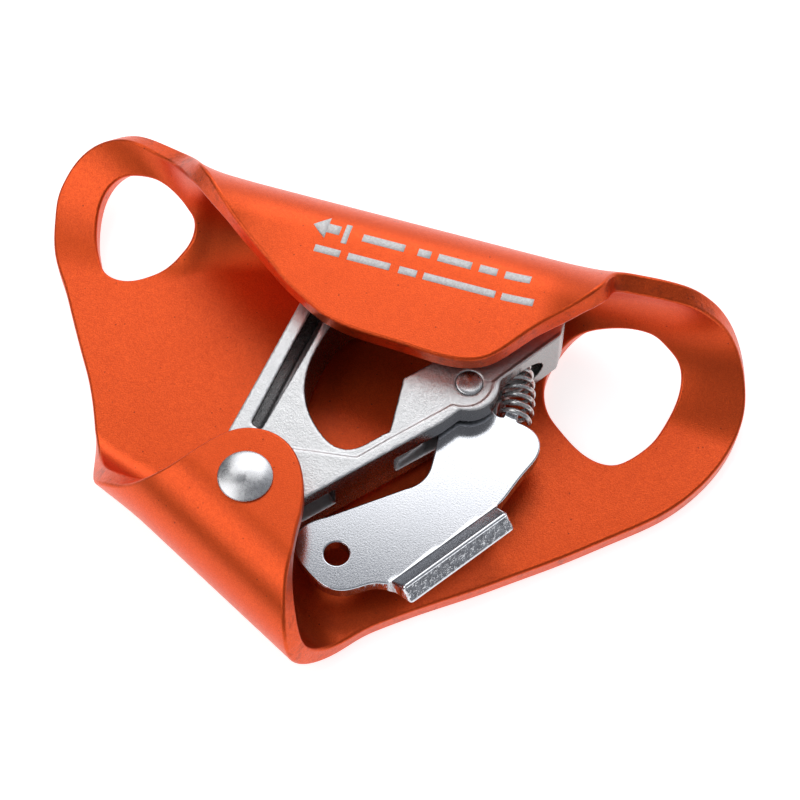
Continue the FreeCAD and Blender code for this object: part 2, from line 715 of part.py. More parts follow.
def add_coil(name, radius, wire, turns, height, base, direction, start, legs):
    """A wire coil with straight legs: pieces of one sub-part, joined."""
    helix = doc.addObject("Part::Helix", name + "_path")
    helix.setExpression("Radius", "<<sizes>>." + radius)
    helix.Height = height
    helix.setExpression("Pitch", "%s mm / <<sizes>>.%s" % (height, turns))
    helix.Placement = FreeCAD.Placement(
        base,
        FreeCAD.Rotation(Vector(0, 0, 1), direction) * FreeCAD.Rotation(Vector(0, 0, 1), start),
    )
    doc.recompute()
    section = doc.addObject("Part::Circle", name + "_section")
    section.setExpression("Radius", "<<sizes>>." + wire)
    start = helix.Placement.multVec(Vector(size(radius), 0, 0))
    heading = helix.Shape.Edges[0].tangentAt(helix.Shape.Edges[0].FirstParameter)
    section.Placement = FreeCAD.Placement(start, FreeCAD.Rotation(Vector(0, 0, 1), heading))
    coil = doc.addObject("Part::Sweep", name + "_coil")
    coil.Sections = [section]
    coil.Spine = (helix, ["Edge1"])
    coil.Solid = True
    coil.Frenet = True
    doc.recompute()
    if not legs:
        coil.Label = name
        layout(coil)
        doc.recompute()
        return coil
    pieces = [coil]
    for number, (foot, tip_point) in enumerate(legs):
        # A leg is a little thicker than the coil and starts inside it, so that it swallows its end.
        along = (tip_point - foot).normalize()
        leg = doc.addObject("Part::Cylinder", "%s_leg_%d" % (name, number))
        leg.setExpression("Radius", "<<sizes>>.%s * 1.06" % wire)
        leg.Height = (tip_point - foot).Length + 0.62
        leg.Placement = FreeCAD.Placement(
            foot - along * 0.62, FreeCAD.Rotation(Vector(0, 0, 1), along)
        )
        pieces.append(leg)
    joined = doc.addObject("Part::MultiFuse", name)
    joined.Shapes = pieces
    joined.Label = name
    layout(joined)
    doc.recompute()
    return joined


add_coil(
    "catch_spring", "catch_spring_radius", "catch_spring_wire", "catch_spring_turns",
    11.4, Vector(19.9, 0.75, 10.2), SEAT_LEAN, 0.0, [],
)

# The cam spring is wound round the rivet: one leg presses on the ear fold, the other on the cam.
COIL_START = -size("ear_angle") - 90
COIL_END = COIL_START + 360 * (size("cam_spring_turns") - 2)
coil_foot = pivot + Vector(0, 0, 8.8)
COIL_RISE = 3.4
ear_way = Vector(math.cos(math.radians(COIL_START)), math.sin(math.radians(COIL_START)), 0)
cam_way = Vector(math.cos(math.radians(COIL_END)), math.sin(math.radians(COIL_END)), 0)
start_point = coil_foot + ear_way * size("cam_spring_radius")
end_point = coil_foot + cam_way * size("cam_spring_radius") + Vector(0, 0, COIL_RISE)
add_coil(
    "cam_spring", "cam_spring_radius", "cam_spring_wire", "cam_spring_turns",
    COIL_RISE, coil_foot, Vector(0, 0, 1), COIL_START,
    [(start_point, start_point + ear_way * 5.6), (end_point, end_point + cam_way * 8.5)],
)

# ---------------------------------------------------------------- checks and export

doc.recompute()
for item in doc.Objects:
    states = [state for state in item.State if state in ("Invalid", "Error")]
    if states:
        raise RuntimeError("%s is %s" % (item.Name, states))
os.makedirs("parts", exist_ok=True)
NODES = ["frame", "cam_rivet", "cam", "cam_spring", "catch", "catch_pin", "catch_spring"]
for name in NODES:
    solid = doc.getObjectsByLabel(name)[0].Shape
    if solid.isNull() or not solid.isValid() or len(solid.Solids) != 1:
        raise RuntimeError("%s is not one valid solid" % name)
    solid.exportStep("parts/%s.step" % name)
    print(name, round(solid.Volume, 1), solid.BoundBox)
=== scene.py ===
import json
import math

import bpy
import numpy as np
from mathutils import Matrix, Vector
from mathutils.geometry import delaunay_2d_cdt


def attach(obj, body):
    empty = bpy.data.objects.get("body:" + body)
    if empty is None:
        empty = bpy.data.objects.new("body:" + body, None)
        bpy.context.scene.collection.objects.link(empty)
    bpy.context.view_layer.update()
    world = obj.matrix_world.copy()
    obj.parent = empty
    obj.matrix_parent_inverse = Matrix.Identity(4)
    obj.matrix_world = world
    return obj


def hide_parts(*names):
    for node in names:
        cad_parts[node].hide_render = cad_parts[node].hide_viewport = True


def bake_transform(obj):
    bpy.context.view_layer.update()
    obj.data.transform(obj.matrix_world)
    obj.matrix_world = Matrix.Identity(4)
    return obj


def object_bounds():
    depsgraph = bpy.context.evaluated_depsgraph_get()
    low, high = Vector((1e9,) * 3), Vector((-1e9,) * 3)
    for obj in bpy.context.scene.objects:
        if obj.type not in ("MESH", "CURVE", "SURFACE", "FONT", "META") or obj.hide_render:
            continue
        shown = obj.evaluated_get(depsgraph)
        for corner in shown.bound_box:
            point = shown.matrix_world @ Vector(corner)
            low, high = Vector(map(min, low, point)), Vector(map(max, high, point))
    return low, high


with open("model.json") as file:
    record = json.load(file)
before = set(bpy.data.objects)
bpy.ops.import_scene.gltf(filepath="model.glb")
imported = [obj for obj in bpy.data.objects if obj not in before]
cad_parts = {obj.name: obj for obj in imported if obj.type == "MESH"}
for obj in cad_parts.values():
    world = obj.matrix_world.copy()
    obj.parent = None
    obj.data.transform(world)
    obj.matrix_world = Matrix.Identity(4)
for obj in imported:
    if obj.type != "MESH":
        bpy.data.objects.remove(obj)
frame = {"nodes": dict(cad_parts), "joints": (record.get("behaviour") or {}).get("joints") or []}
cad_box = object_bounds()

# A chest ascender lying on the flat back of its plate. Outlines are in mm on the flat blank, in the
# layout that part.py uses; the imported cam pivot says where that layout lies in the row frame.
JOINTS = {joint["name"]: joint for joint in frame["joints"]}
PIVOT = np.array([-18.15, -27.8])
PIN = np.array([11.6, 2.3])
SHIFT = np.array(JOINTS["cam_pivot"]["pos_m"][:2]) * 1000 - PIVOT
UP = np.array([0, 0, 1])


# ---------------------------------------------------------------- curves and bent sheet

# Closer points of an outline count as one. Rows of grid points lie this share of their spacing apart.
SAME_POINT = 0.02
ROW_SHARE = 0.866
# Grid points keep this share of their spacing from the edges. So many are tested at a time.
EDGE_GAP_SHARE = 0.5
BATCH = 500
# Small steps for the directions on a bent sheet: along it, and across an outline.
SLOPE_STEP = 0.02
EDGE_STEP = 0.05


def spline(points, step=0.5, closed=False):
    """Points about step apart on a cubic through the given points."""
    knots = np.array(points, float)
    if closed:
        knots = np.vstack([knots, knots[:1]])
    gaps = np.linalg.norm(np.diff(knots, axis=0), axis=1)
    count = len(knots)
    matrix = np.zeros((count, count))
    right = np.zeros((count, 2))
    for i in range(1, count - 1):
        matrix[i, i - 1] = gaps[i - 1]
        matrix[i, i] = 2 * (gaps[i - 1] + gaps[i])
        matrix[i, i + 1] = gaps[i]
        right[i] = 6 * (
            (knots[i + 1] - knots[i]) / gaps[i] - (knots[i] - knots[i - 1]) / gaps[i - 1]
        )
    if closed:
        matrix[0, 0] = 1
        matrix[0, -1] = -1
        matrix[-1, 0] = 2 * gaps[0]
        matrix[-1, 1] = gaps[0]
        matrix[-1, -2] = gaps[-1]
        matrix[-1, -1] = 2 * gaps[-1]
        right[-1] = 6 * ((knots[1] - knots[0]) / gaps[0] - (knots[-1] - knots[-2]) / gaps[-1])
    else:
        matrix[0, 0] = 1
        matrix[-1, -1] = 1
    curl = np.linalg.solve(matrix, right)
    out = []
    for i in range(count - 1):
        pieces = max(1, int(round(gaps[i] / step)))
        for k in range(pieces):
            u = gaps[i] * k / pieces
            v = gaps[i] - u
            out.append(
                (curl[i] * v**3 + curl[i + 1] * u**3) / (6 * gaps[i])
                + (knots[i] / gaps[i] - curl[i] * gaps[i] / 6) * v
                + (knots[i + 1] / gaps[i] - curl[i + 1] * gaps[i] / 6) * u
            )
    if not closed:
        out.append(knots[-1])
    return np.array(out)


def arc(start, middle, end, step=0.3):
    """Points on the arc through three points."""
    a, b, c = (np.array(p, float) for p in (start, middle, end))
    rows = np.array([b - a, c - a]) * 2
    centre = np.linalg.solve(rows, [b @ b - a @ a, c @ c - a @ a])
    radius = np.linalg.norm(a - centre)
    turns = [math.atan2(*(p - centre)[::-1]) for p in (a, b, c)]
    sweep = (turns[2] - turns[0]) % (2 * math.pi)
    if (turns[1] - turns[0]) % (2 * math.pi) > sweep:
        sweep -= 2 * math.pi
    count = max(3, int(abs(sweep) * radius / step))
    angles = turns[0] + np.linspace(0, sweep, count)
    return centre + radius * np.column_stack([np.cos(angles), np.sin(angles)])


def line(start, end, step=0.6):
    """Points on a straight run, with both ends."""
    count = max(2, int(math.dist(start, end) / step) + 1)
    return np.linspace(start, end, count)


def circle(centre, radius, step=0.4):
    """A closed loop of points round a centre."""
    count = max(24, int(2 * math.pi * radius / step))
    angles = np.linspace(0, 2 * math.pi, count, endpoint=False)
    return np.array(centre) + radius * np.column_stack([np.cos(angles), np.sin(angles)])


def join(*pieces):
    """One closed loop from runs that share their ends."""
    points = np.vstack(pieces)
    keep = np.linalg.norm(points - np.roll(points, 1, axis=0), axis=1) > SAME_POINT
    return points[keep]


def turn_area(loop):
    """The area inside a loop, negative where the loop runs clockwise."""
    x, y = loop.T
    return 0.5 * np.sum(x * np.roll(y, -1) - np.roll(x, -1) * y)


def left_normals(loop):
    """Unit vectors to the left of a loop at each of its points."""
    along = np.roll(loop, -1, axis=0) - np.roll(loop, 1, axis=0)
    normal = np.column_stack([-along[:, 1], along[:, 0]])
    return normal / np.linalg.norm(normal, axis=1)[:, None]


def inside(points, loop):
    """Which points lie inside a closed loop."""
    x, y = points[:, 0], points[:, 1]
    result = np.zeros(len(points), bool)
    for (x0, y0), (x1, y1) in zip(loop, np.roll(loop, -1, axis=0)):
        crosses = (y0 > y) != (y1 > y)
        with np.errstate(divide="ignore", invalid="ignore"):
            result ^= crosses & (x < (x1 - x0) * (y - y0) / (y1 - y0) + x0)
    return result


def on_sheet(points, loops):
    """Which points lie inside the first loop and outside the others."""
    keep = inside(points, loops[0])
    for loop in loops[1:]:
        keep &= ~inside(points, loop)
    return keep


def fill_grid(loops, spacing):
    """Grid points inside the first loop, outside the others and clear of all of them."""
    low = loops[0].min(axis=0)
    high = loops[0].max(axis=0)
    rows = []
    for number, y in enumerate(np.arange(low[1], high[1], spacing * ROW_SHARE)):
        start = low[0] + (spacing / 2 if number % 2 else 0)
        xs = np.arange(start, high[0], spacing)
        rows.append(np.column_stack([xs, np.full(len(xs), y)]))
    grid = np.vstack(rows)
    grid = grid[on_sheet(grid, loops)]
    edge = np.vstack(loops)
    clear = np.ones(len(grid), bool)
    for start in range(0, len(grid), BATCH):
        part = grid[start:start + BATCH]
        gap = np.linalg.norm(part[:, None] - edge[None], axis=2).min(axis=1)
        clear[start:start + BATCH] = gap > spacing * EDGE_GAP_SHARE
    return grid[clear]


def loop_edges(count, first=0):
    """Pairs of neighbours round a loop."""
    return [(first + i, first + (i + 1) % count) for i in range(count)]


def triangles_between(points, edges, mode):
    """Triangles that keep the given edges: mode 0 fills the convex hull, mode 1 what the edges enclose."""
    made = delaunay_2d_cdt([Vector(p) for p in points], edges, [], mode, 1e-6, True)
    source = [ids[0] for ids in made[3]]
    return np.array([[source[i] for i in face] for face in made[2]])


def sheet_piece(name, mapping, half, loops, rounding, spacing, rows, swell=None):
    """A closed piece of bent sheet. Loops lie on the flat blank, the outer one first, and mapping gives
    the sheet's middle and its normal for points of the blank. Half is half the thickness. Each loop's
    edge is rounded by its own radius, with that many rows of points above and below. Swell gives how
    much thicker the lower side is."""
    vertices = []
    normals = []
    spots = []
    edge_share = []
    faces = []

    def add(flat, upper, height, angle, across):
        """Adds points at a height above or below the middle, their normals turned outwards by angle."""
        first = len(vertices)
        middle, up = mapping(flat)
        height = upper * height
        if upper == -1 and swell is not None:
            height = height - swell(flat)
        vertices.extend(middle + up * height[:, None])
        normals.extend(up * upper * math.cos(angle) - across * math.sin(angle))
        spots.extend(flat)
        edge_share.extend([math.sin(angle)] * len(flat))
        return first

    profile = []
    for angle in np.linspace(0, math.pi / 2, rows):
        profile.append((1 - math.sin(angle), math.cos(angle), angle))
    rings = []
    bounds = []
    for number, (loop, radius) in enumerate(zip(loops, rounding)):
        wanted = 1 if number == 0 else -1
        loop = loop if turn_area(loop) * wanted > 0 else loop[::-1]
        side = left_normals(loop)
        radius = np.full(len(loop), radius) if swell is None else radius + 0.5 * swell(loop)
        ring = []
        for upper in (1, -1):
            for inset, rise, angle in profile[::upper]:
                flat = loop + side * (inset * radius)[:, None]
                across = mapping(flat + side * EDGE_STEP)[0] - mapping(flat - side * EDGE_STEP)[0]
                across /= np.linalg.norm(across, axis=1)[:, None]
                ring.append(add(flat, upper, half - radius + radius * rise, angle, across))
        for above, below in zip(ring, ring[1:]):
            for i, ahead in loop_edges(len(loop)):
                faces.append((above + i, below + i, below + ahead, above + ahead))
        rings.append(ring)
        bounds.append(loop + side * radius[:, None])

    grid = fill_grid(bounds, spacing)
    edges = []
    for loop in bounds:
        edges += loop_edges(len(loop), len(edges))
    points = np.vstack(bounds + [grid])
    triangles = triangles_between(points, edges, 0)
    triangles = triangles[on_sheet(points[triangles].mean(axis=1), bounds)]
    for upper in (1, -1):
        index = []
        for ring, loop in zip(rings, bounds):
            first = ring[0] if upper == 1 else ring[-1]
            index += range(first, first + len(loop))
        first = add(grid, upper, np.full(len(grid), half), 0.0, 0.0)
        index += range(first, first + len(grid))
        for a, b, c in triangles:
            face = (index[a], index[b], index[c])
            faces.append(face if upper == 1 else face[::-1])
    return finish_mesh(name, vertices, faces, normals, spots, edge_share)


# The UV map shows the blank in this many mm to 1, moved by 1 so that it has no negative values.
UV_UNIT = 100


def finish_mesh(name, vertices, faces, normals=None, spots=None, edge_share=None):
    """A mesh object in the row frame, in metres, from layout coordinates in mm. Spots are its points on
    the blank, kept as a UV map, and edge_share says how far round a rounded edge each point lies."""
    points = np.array(vertices, float)
    points[:, :2] += SHIFT
    mesh = bpy.data.meshes.new(name)
    mesh.from_pydata((points / 1000).tolist(), [], [tuple(int(i) for i in f) for f in faces])
    mesh.polygons.foreach_set("use_smooth", [True] * len(mesh.polygons))
    if spots is not None:
        flat = np.array(spots, float)
        layer = mesh.uv_layers.new(name="blank")
        corner = np.zeros(len(mesh.loops), int)
        mesh.loops.foreach_get("vertex_index", corner)
        layer.data.foreach_set("uv", (flat[corner] / UV_UNIT + 1).ravel())
    if edge_share is not None:
        attribute = mesh.attributes.new("edge_share", "FLOAT", "POINT")
        attribute.data.foreach_set("value", np.array(edge_share, np.float32))
    mesh.update()
    if normals is not None:
        given = np.array(normals, float)
        given /= np.linalg.norm(given, axis=1)[:, None]
        mesh.normals_split_custom_set_from_vertices(given.tolist())
    piece = bpy.data.objects.new(name, mesh)
    bpy.context.collection.objects.link(piece)
    return piece


def with_normals(middle_of):
    """A mapping that also gives the sheet's normal."""

    def mapping(flat):
        ahead = np.array([SLOPE_STEP, 0])
        aside = np.array([0, SLOPE_STEP])
        along = middle_of(flat + ahead) - middle_of(flat - ahead)
        across = middle_of(flat + aside) - middle_of(flat - aside)
        up = np.cross(along, across)
        return middle_of(flat), up / np.linalg.norm(up, axis=1)[:, None]

    return mapping


def bend(reach, start, neutral, most=math.pi):
    """Reach and rise of a sheet that bends up from start, by that angle at most, and then runs straight."""
    past = np.maximum(reach - start, 0)
    angle = np.minimum(past / neutral, most)
    beyond = np.maximum(past - most * neutral, 0)
    bent = start + neutral * np.sin(angle) + beyond * math.cos(most)
    rise = neutral * (1 - np.cos(angle)) + beyond * math.sin(most)
    return np.where(reach < start, reach, bent), rise


# ---------------------------------------------------------------- frame

THICKNESS = 3.6
HALF = THICKNESS / 2
CHANNEL_RADIUS = 7.5
EAR_RADIUS = 7.5
EAR_NEUTRAL = EAR_RADIUS + HALF
EAR_TOP = 2 * THICKNESS + 2 * EAR_RADIUS
# The ear is folded over a line at this angle to X, and the line passes this far from the origin.
FOLD_ANGLE = -math.radians(27.4)
ALONG = np.array([math.cos(FOLD_ANGLE), math.sin(FOLD_ANGLE)])
ACROSS = np.array([math.sin(FOLD_ANGLE), -math.cos(FOLD_ANGLE)])
EAR_REACH = 36.33
# Towards its left end the fold starts later and is tighter.
FLARE_START = -14.0
FLARE_LENGTH = 20.0
FLARE_LATER = 3.4
FLARE_TIGHTER = 2.9

# Each row: station along X, inside radius of the channel's bend, Y where the bend starts.
BEND_STATIONS = np.array([
    (-84, 50.0, 9.5), (-74, 40.0, 9.6), (-67, 33.0, 9.9), (-61, 27.0, 10.6), (-56, 21.5, 12.0),
    (-51.5, 16.5, 13.2), (-47, 12.9, 13.4), (-42.5, 10.3, 15.9), (-37.5, 8.9, 18.0),
    (-31.5, 8.0, 19.5), (-24, CHANNEL_RADIUS, 20.35), (12, CHANNEL_RADIUS, 20.35), (20, 8.0, 19.5),
    (27, 9.3, 17.5), (33, 11.1, 15.3), (38, 12.8, 13.1), (44, 14.6, 11.0), (50, 16.4, 9.9),
    (56, 18.0, 9.6), (70, 20.0, 9.5),
])


def station_slopes(values):
    """Slopes of a monotone cubic through the stations."""
    steps = np.diff(BEND_STATIONS[:, 0])
    rises = np.diff(values) / steps
    slopes = [rises[0]]
    for i in range(1, len(rises)):
        if rises[i - 1] * rises[i] <= 0:
            slopes.append(0.0)
            continue
        w1 = 2 * steps[i] + steps[i - 1]
        w2 = steps[i] + 2 * steps[i - 1]
        slopes.append((w1 + w2) / (w1 / rises[i - 1] + w2 / rises[i]))
    slopes.append(rises[-1])
    return np.array(slopes)


def station_value(x, column, slopes):
    """A column of the stations at any x, by the cubic with those slopes."""
    stations = BEND_STATIONS[:, 0]
    values = BEND_STATIONS[:, column]
    i = np.clip(np.searchsorted(stations, x) - 1, 0, len(stations) - 2)
    step = stations[i + 1] - stations[i]
    part = (x - stations[i]) / step
    return (
        (2 * part**3 - 3 * part**2 + 1) * values[i]
        + (part**3 - 2 * part**2 + part) * step * slopes[i]
        + (3 * part**2 - 2 * part**3) * values[i + 1]
        + (part**3 - part**2) * step * slopes[i + 1]
    )


RADIUS_SLOPES = station_slopes(BEND_STATIONS[:, 1])
START_SLOPES = station_slopes(BEND_STATIONS[:, 2])


def channel_middle(flat):
    """The sheet's middle for points of the blank, bent up round the channel."""
    x, y = flat[:, 0], flat[:, 1]
    neutral = station_value(x, 1, RADIUS_SLOPES) + HALF
    start = station_value(x, 2, START_SLOPES)
    bent_y, rise = bend(y, start, neutral)
    return np.column_stack([x, bent_y, HALF + rise])


def ear_middle(flat):
    """The sheet's middle for points of the blank, folded over at the ear."""
    along = flat @ ALONG
    flare = np.clip((FLARE_START - along) / FLARE_LENGTH, 0, 1)
    flare = flare * flare * (3 - 2 * flare)
    neutral = EAR_NEUTRAL - FLARE_TIGHTER * flare
    past_line, rise = bend(flat @ ACROSS - EAR_REACH, FLARE_LATER * flare, neutral)
    spot = along[:, None] * ALONG + (past_line + EAR_REACH)[:, None] * ACROSS
    return np.column_stack([spot, HALF + rise])


def frame_middle(flat):
    """The sheet's middle for any points of the blank."""
    in_ear = (flat @ ACROSS > EAR_REACH)[:, None]
    return np.where(in_ear, ear_middle(flat), channel_middle(flat))


frame_mapping = with_normals(frame_middle)


def from_fold(points):
    """Points of the blank from (along the fold line, past the fold line)."""
    return [tuple(along * ALONG + (past + EAR_REACH) * ACROSS) for along, past in points]


EAR_EDGE = from_fold([
    (24.3, -3.0), (23.5, 0.3), (22.7, 4.3), (21.9, 8.5), (21.2, 12.4), (20.2, 16.0),
    (18.7, 19.2), (16.8, 22.0), (14.2, 25.2), (11.8, 28.4), (9.4, 31.8), (7.4, 35.0),
    (4.9, 37.9), (1.6, 40.4), (-2.2, 41.8), (-5.6, 41.6), (-8.5, 40.2), (-10.8, 37.8),
    (-12.1, 34.8), (-12.9, 31.6), (-13.4, 28.6), (-14.4, 25.4), (-16.2, 22.2), (-18.6, 19.2),
    (-21.4, 16.9), (-24.2, 14.9), (-26.6, 12.7), (-28.9, 10.1), (-32.2, 6.6), (-37.2, 2.3),
    (-44.8, -3.0),
])
LEFT_EDGE = [(-57.4, -5.5), (-59.9, -1.7), (-62.7, 2.7), (-65.5, 7.0)]
UPPER_EDGE = [
    (-68.3, 10.9), (-70.4, 15.2), (-71.7, 19.9), (-72.3, 23.7), (-71.8, 27.6), (-70.2, 31.7),
    (-67.8, 34.7), (-64.6, 36.9), (-60.6, 38.2), (-56.6, 38.3), (-52.6, 38.3), (-48.6, 39.6),
    (-45.7, 42.5), (-42.5, 46.2), (-38.4, 49.9), (-34.6, 52.7), (-30.7, 55.4), (-26.8, 58.1),
    (-23.0, 60.8), (-19.8, 62.6), (-16.3, 64.4), (-12.5, 65.6), (-7.5, 66.2), (-2.0, 66.4),
    (3.0, 66.7), (7.2, 66.8), (11.0, 66.2), (13.9, 64.8), (16.9, 61.7), (20.8, 56.9),
    (24.2, 53.9), (27.4, 51.3), (30.0, 48.1), (30.9, 44.4), (33.4, 42.2), (36.9, 41.4),
    (40.1, 40.8), (43.4, 39.7), (46.6, 37.4), (49.7, 34.6), (52.3, 31.4), (54.7, 27.4),
    (56.7, 22.6), (57.8, 18.0), (57.7, 12.3), (56.5, 7.0),
]
LOWER_EDGE = [
    (53.7, 0.7), (49.2, -5.6), (42.3, -12.0), (34.3, -18.9), (27.5, -24.3), (22.4, -28.3),
    (17.2, -32.1), (12.1, -35.9), (8.1, -39.1),
]
LOWER_EYE = [
    (43.8, 7.0), (45.1, 11.0), (46.0, 15.6), (46.0, 19.6), (44.6, 23.6), (42.1, 26.1),
    (39.6, 27.8), (37.0, 28.2), (34.0, 27.8), (30.6, 26.7), (27.6, 25.1), (25.0, 22.3),
    (23.4, 18.1), (22.9, 14.2), (23.4, 10.6), (25.3, 7.0), (27.5, 5.0), (30.3, 2.9),
    (33.2, 1.3), (36.2, 0.6), (38.6, 1.0), (40.7, 2.6), (42.4, 4.7),
]
UPPER_EYE = [
    (-62.9, 17.9), (-63.8, 21.6), (-63.9, 25.2), (-62.6, 28.8), (-60.2, 31.0), (-57.2, 32.0),
    (-54.1, 32.3), (-50.9, 31.6), (-48.3, 30.1), (-46.5, 27.8), (-46.0, 25.0), (-46.3, 22.0),
    (-47.4, 18.8), (-49.2, 15.6), (-51.6, 13.1), (-54.2, 11.5), (-56.8, 11.0), (-59.4, 11.8),
    (-61.2, 14.2), (-62.2, 16.1),
]
RIVET_TAIL_RADIUS = 4.8
RIVET_RADIUS = 3.0
past_fold = math.pi * EAR_NEUTRAL - (PIVOT @ ACROSS - EAR_REACH)
pivot_on_ear = from_fold([(PIVOT @ ALONG, past_fold)])[0]
plate = sheet_piece(
    "frame_plate",
    frame_mapping,
    HALF,
    [
        spline(EAR_EDGE + LEFT_EDGE + UPPER_EDGE + LOWER_EDGE, closed=True),
        spline(LOWER_EYE, closed=True),
        spline(UPPER_EYE, closed=True),
        circle(PIVOT, RIVET_TAIL_RADIUS),
        circle(pivot_on_ear, RIVET_RADIUS),
    ],
    rounding=[0.6, 0.6, 0.6, 0.2, 0.2],
    spacing=1.4,
    rows=6,
)
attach(plate, "frame")
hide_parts("frame")

# ---------------------------------------------------------------- catch

CATCH_BOTTOM = 8.7
CATCH_HALF = 1.5
CREASE_START = np.array([8.5, -35.1])
CREASE = np.array([22.1, -15.9]) - CREASE_START
CREASE_LENGTH = np.linalg.norm(CREASE)
CREASE_ALONG = CREASE / CREASE_LENGTH
CREASE_OUT = np.array([CREASE_ALONG[1], -CREASE_ALONG[0]])
TAB_ANGLE = math.radians(45)
TAB_INSIDE = 0.5
TAB_FLAT = 3.9
TAB_START = -TAB_INSIDE * math.tan(TAB_ANGLE / 2)
TAB_NEUTRAL = TAB_INSIDE + CATCH_HALF
TAB_REACH = TAB_START + TAB_NEUTRAL * TAB_ANGLE + TAB_FLAT
TAB_SWELL = 0.6
SWELL_MARGIN = 0.6
# The tab's sides begin this far past the crease, and its swell counts this far past its two ends.
TAB_ROOT = 0.7
BEFORE_TAB = 1
AFTER_TAB = 0.5
PIN_BORE_RADIUS = 2.36
CORD_HOLE = (-1.3, -32.3)
CORD_HOLE_RADIUS = 2.15


def catch_middle(flat):
    """The catch's middle for points of its blank, with the thumb tab bent up along the crease."""
    out = (flat - CREASE_START) @ CREASE_OUT
    along = (flat - CREASE_START) @ CREASE_ALONG
    bent_out, rise = bend(out, TAB_START, TAB_NEUTRAL, TAB_ANGLE)
    spot = CREASE_START + along[:, None] * CREASE_ALONG + bent_out[:, None] * CREASE_OUT
    return np.column_stack([spot, CATCH_BOTTOM + CATCH_HALF + rise])


def catch_swell(flat):
    """How much thicker the thumb tab grows towards its end."""
    out = (flat - CREASE_START) @ CREASE_OUT
    along = (flat - CREASE_START) @ CREASE_ALONG
    on_tab = (along > -BEFORE_TAB) & (along < CREASE_LENGTH + AFTER_TAB)
    growth = np.clip((out - SWELL_MARGIN) / (TAB_REACH - 2 * SWELL_MARGIN), 0, 1)
    return np.where(on_tab, TAB_SWELL * growth, 0)


def on_crease(share, out):
    """A point of the catch's blank from its share of the crease's length and its distance past it."""
    return tuple(CREASE_START + CREASE * share + CREASE_OUT * out)


tab_corners = [
    on_crease(0.975, TAB_REACH - 0.9), on_crease(0.965, TAB_REACH - 0.25),
    on_crease(0.94, TAB_REACH), on_crease(0.07, TAB_REACH),
    on_crease(0.043, TAB_REACH - 0.2), on_crease(0.033, TAB_REACH - 0.7),
]
catch_loop = join(
    spline([
        (8.5, -35.1), (6.7, -35.4), (4.4, -36.7), (1.6, -38.3), (-1.2, -38.5), (-4.6, -37.1),
        (-7.4, -34.9), (-8.8, -32.3), (-8.3, -29.4), (-4.8, -26.3),
    ], 0.3),
    line((-4.8, -26.3), (6.4, -17.5)),
    arc((6.4, -17.5), (8.6, -15.2), (9.2, -12.2)),
    spline([(9.2, -12.2), (8.7, -6.8), (7.6, -1.4), (7.2, 2.3)], 0.5),
    arc((7.2, 2.3), (11.6, 6.7), (16.0, 2.3)),
    arc((16.0, 2.3), (16.6, 0.7), (18.4, 0.2)),
    line((18.4, 0.2), (18.7, 2.0)),
    line((18.7, 2.0), (20.7, 2.0)),
    line((20.7, 2.0), (21.0, 0.0)),
    spline([
        (21.0, 0.0), (23.9, -0.8), (25.7, -2.7), (26.0, -5.2), (24.9, -8.4), (23.6, -12.0),
        (22.5, -15.2), on_crease(1.0, 0.1),
    ], 0.3),
    line(on_crease(1.0, 0.1), on_crease(0.978, TAB_ROOT)),
    line(on_crease(0.978, TAB_ROOT), tab_corners[0]),
    arc(*tab_corners[:3], 0.15),
    line(tab_corners[2], tab_corners[3]),
    arc(*tab_corners[3:], 0.15),
    line(tab_corners[5], on_crease(0.03, TAB_ROOT)),
    line(on_crease(0.03, TAB_ROOT), (8.5, -35.1)),
)
catch = sheet_piece(
    "catch_plate",
    with_normals(catch_middle),
    CATCH_HALF,
    [catch_loop, circle(PIN, PIN_BORE_RADIUS, 0.3), circle(CORD_HOLE, CORD_HOLE_RADIUS, 0.3)],
    rounding=[0.28, 0.2, 0.25],
    spacing=0.9,
    rows=5,
    swell=catch_swell,
)
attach(catch, "catch")
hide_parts("catch")

# ---------------------------------------------------------------- turned pieces and springs


def turned(name, centre, profile, count=96):
    """A closed piece turned about Z: profile runs from the axis at the bottom to the axis at the top."""
    vertices = [(centre[0], centre[1], profile[0][1])]
    for radius, z in profile[1:-1]:
        for k in range(count):
            angle = 2 * math.pi * k / count
            vertices.append(
                (centre[0] + radius * math.cos(angle), centre[1] + radius * math.sin(angle), z)
            )
    vertices.append((centre[0], centre[1], profile[-1][1]))
    faces = []
    rings = len(profile) - 2
    for k, ahead in loop_edges(count):
        faces.append((0, 1 + ahead, 1 + k))
        for ring in range(rings - 1):
            low = 1 + ring * count
            faces.append((low + k, low + ahead, low + count + ahead, low + count + k))
        top = 1 + (rings - 1) * count
        faces.append((top + k, top + ahead, len(vertices) - 1))
    return finish_mesh(name, vertices, faces)


TAIL_FACE = 0.02
HEAD_RADIUS = 4.6
HEAD_HEIGHT = 1.3
DOME_RADIUS = HEAD_RADIUS - 0.12
DOME_HEIGHT = HEAD_HEIGHT - 0.42
DOME_TOP = EAR_TOP + HEAD_HEIGHT
tail = [
    (0, TAIL_FACE), (2.0, TAIL_FACE), (4.2, TAIL_FACE), (4.62, 0.1), (4.6, 0.3), (RIVET_RADIUS, 1.8),
]
shank = [(RIVET_RADIUS, z) for z in (3.0, EAR_TOP - 3.0, EAR_TOP - 0.2, EAR_TOP + 0.02)]
head_rim = [(DOME_RADIUS, EAR_TOP + 0.04), (HEAD_RADIUS, EAR_TOP + 0.14), (HEAD_RADIUS, EAR_TOP + 0.3)]
sphere = (DOME_RADIUS**2 + DOME_HEIGHT**2) / (2 * DOME_HEIGHT)
dome = []
for share in np.linspace(1, 0.04, 26):
    radius = DOME_RADIUS * share
    dome.append((radius, DOME_TOP - sphere + math.sqrt(sphere**2 - radius**2)))
rivet = turned("rivet_head", PIVOT, tail + shank + head_rim + dome + [(0, DOME_TOP)])
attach(rivet, "frame")
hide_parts("cam_rivet")

